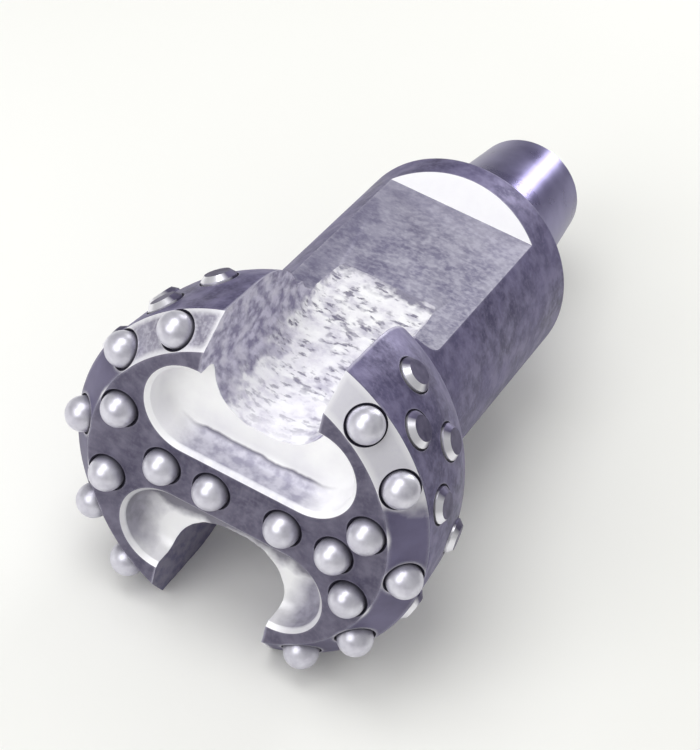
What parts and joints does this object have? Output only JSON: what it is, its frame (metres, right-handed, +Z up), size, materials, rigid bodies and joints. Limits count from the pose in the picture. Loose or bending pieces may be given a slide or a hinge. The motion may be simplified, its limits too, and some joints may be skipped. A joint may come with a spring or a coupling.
{
  "type": "cable tool drill bit",
  "caption": "Percussion bit for cable tool drilling: domed carbide buttons in a head with watercourses, a shank with wrench flats and a tapered joint pin.",
  "frame": {"origin": "middle of the bit's bounding box, at the surface that it lies on", "axes": "+Y along the bit from the cutting face towards the pin, +Z up, +X across the face"},
  "size_m": [0.2076, 0.3942, 0.1927],
  "materials": {
    "forged_steel": "dark machined and heat-treated steel",
    "tungsten_carbide": "ground and polished carbide"
  },
  "bodies": {
    "root": {"body": "forged_steel", "face_button_1": "tungsten_carbide", "face_button_2": "tungsten_carbide", "face_button_3": "tungsten_carbide", "face_button_4": "tungsten_carbide", "face_button_5": "tungsten_carbide", "face_button_6": "tungsten_carbide", "face_button_7": "tungsten_carbide", "face_button_8": "tungsten_carbide", "bevel_button_1": "tungsten_carbide", "bevel_button_2": "tungsten_carbide", "bevel_button_3": "tungsten_carbide", "bevel_button_4": "tungsten_carbide", "bevel_button_5": "tungsten_carbide", "bevel_button_6": "tungsten_carbide", "bevel_button_7": "tungsten_carbide", "bevel_button_8": "tungsten_carbide", "bevel_button_9": "tungsten_carbide", "bevel_button_10": "tungsten_carbide", "flank_button_1": "tungsten_carbide", "flank_button_2": "tungsten_carbide", "flank_button_3": "tungsten_carbide", "flank_button_4": "tungsten_carbide", "flank_button_5": "tungsten_carbide", "flank_button_6": "tungsten_carbide", "flank_button_7": "tungsten_carbide", "flank_button_8": "tungsten_carbide", "flank_button_9": "tungsten_carbide", "flank_button_10": "tungsten_carbide", "flank_button_11": "tungsten_carbide", "flank_button_12": "tungsten_carbide", "flank_button_13": "tungsten_carbide", "flank_button_14": "tungsten_carbide", "flank_button_15": "tungsten_carbide", "flank_button_16": "tungsten_carbide", "flank_button_17": "tungsten_carbide", "flank_button_18": "tungsten_carbide"}
  },
  "joints": []
}
